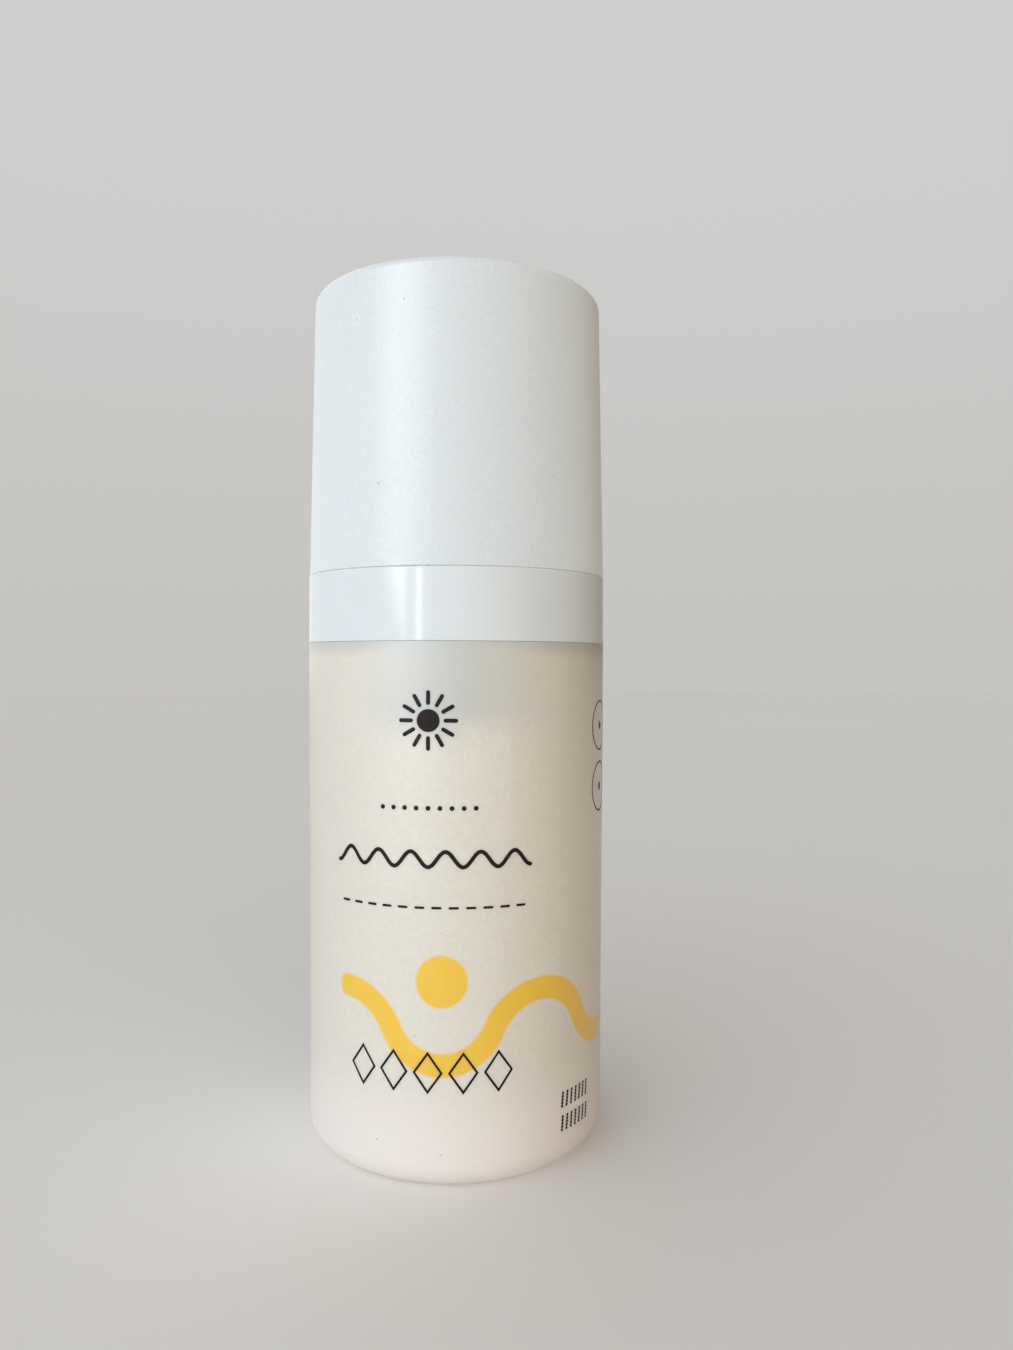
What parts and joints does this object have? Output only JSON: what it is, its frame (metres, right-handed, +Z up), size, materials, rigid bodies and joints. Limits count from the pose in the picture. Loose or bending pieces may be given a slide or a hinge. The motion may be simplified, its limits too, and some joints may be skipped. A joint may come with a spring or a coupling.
{
  "type": "airless dispenser bottle",
  "caption": "Cylindrical airless cream dispenser with a tall push-on overcap over a spring pump with a swivelling spout.",
  "frame": {"origin": "centre of the standing ring, on the surface that the bottle stands on", "axes": "+Z up along the bottle's axis; -Y towards the middle of the printed front and the spout; +X to the right of the front"},
  "size_m": [0.05, 0.05, 0.1398],
  "materials": {
    "body_frosted": "translucent satin polypropylene, cream showing through",
    "collar_gloss": "polished white polypropylene",
    "overcap_matte": "finely textured matte white polypropylene",
    "actuator_satin": "satin white polypropylene",
    "natural_plastic": "natural polypropylene, slightly see-through",
    "soft_plastic": "soft polyethylene",
    "seal": "foamed seal",
    "spring_steel": "drawn wire",
    "ball_glass": "polished glass"
  },
  "bodies": {
    "bottle": {"body_shell": "body_frosted", "plate_seal": "seal", "closure_plate": "natural_plastic", "collar": "collar_gloss", "pump_housing": "natural_plastic", "housing_gasket": "seal", "housing_cap": "actuator_satin", "ball_retainer": "natural_plastic", "pump_spring": "spring_steel"},
    "cap": {"overcap": "overcap_matte"},
    "follower": {"follower_piston": "soft_plastic"},
    "ball": {"inlet_ball": "ball_glass"},
    "pump_stem": {"stem": "natural_plastic", "stem_plug": "natural_plastic"},
    "piston": {"pump_piston": "soft_plastic"},
    "actuator": {"actuator_core": "actuator_satin", "actuator_shell": "actuator_satin", "nozzle_insert": "actuator_satin"}
  },
  "joints": [
    {"name": "overcap_pull", "type": "slide", "parent": "bottle", "child": "cap", "axis": [0, 0, 1], "range_m": [0, 0.05]},
    {"name": "pump_press", "type": "slide", "parent": "bottle", "child": "pump_stem", "axis": [0, 0, -1], "range_m": [0, 0.0045], "stiffness_N_per_m": 3000, "deforming": ["pump_spring"]},
    {"name": "piston_lag", "type": "slide", "parent": "pump_stem", "child": "piston", "axis": [0, 0, 1], "range_m": [0, 0.0008]},
    {"name": "actuator_swivel", "type": "hinge", "parent": "pump_stem", "child": "actuator", "pos_m": [0, 0, 0.1014], "axis": [0, 0, 1], "continuous": true},
    {"name": "ball_lift", "type": "slide", "parent": "bottle", "child": "ball", "axis": [0, 0, 1], "range_m": [0, 0.0012]},
    {"name": "follower_rise", "type": "slide", "parent": "bottle", "child": "follower", "axis": [0, 0, 1], "range_m": [0, 0.062]}
  ]
}
